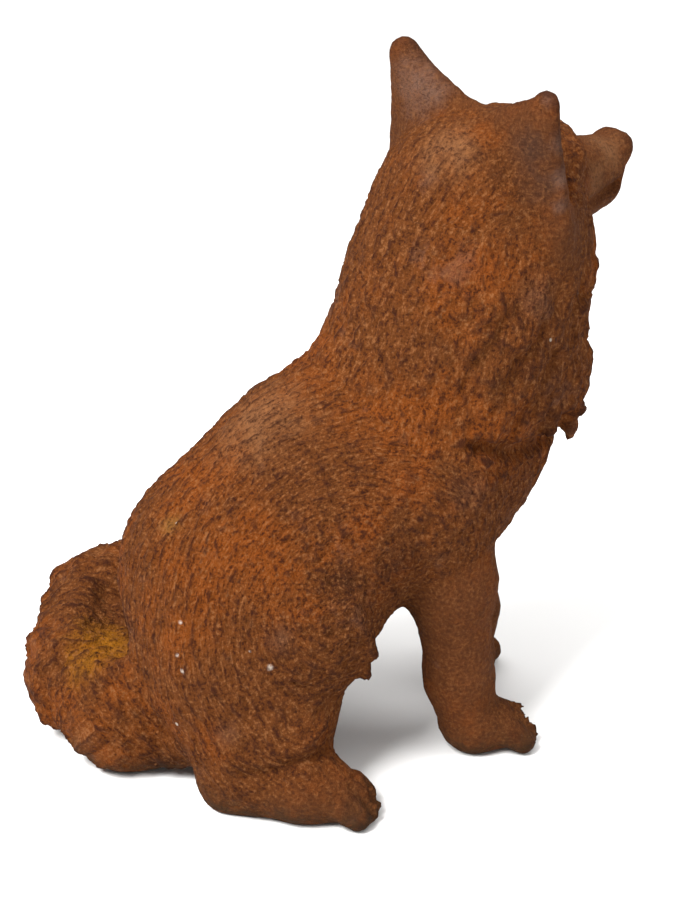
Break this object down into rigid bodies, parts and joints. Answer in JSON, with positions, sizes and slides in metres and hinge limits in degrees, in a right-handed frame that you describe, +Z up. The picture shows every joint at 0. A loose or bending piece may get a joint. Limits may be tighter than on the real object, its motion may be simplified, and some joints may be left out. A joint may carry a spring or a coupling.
{
  "type": "seated fox garden statue",
  "caption": "Hollow cast-iron fox sitting upright with its head turned aside and its brush curled round on the ground, a rusted ornament that stands in a garden by its own weight.",
  "frame": {"origin": "on the ground, under the middle of the statue's bounding box", "axes": "+Z up, the fox's body faces -Y, and +X is the fox's own left, the side its head and brush turn to"},
  "size_m": [0.281, 0.392, 0.4251],
  "materials": {
    "rusted_iron": "bare cast iron, rusted brown all over with orange patches and worn grey spots"
  },
  "bodies": {
    "root": {"fox": "rusted_iron"}
  },
  "joints": []
}
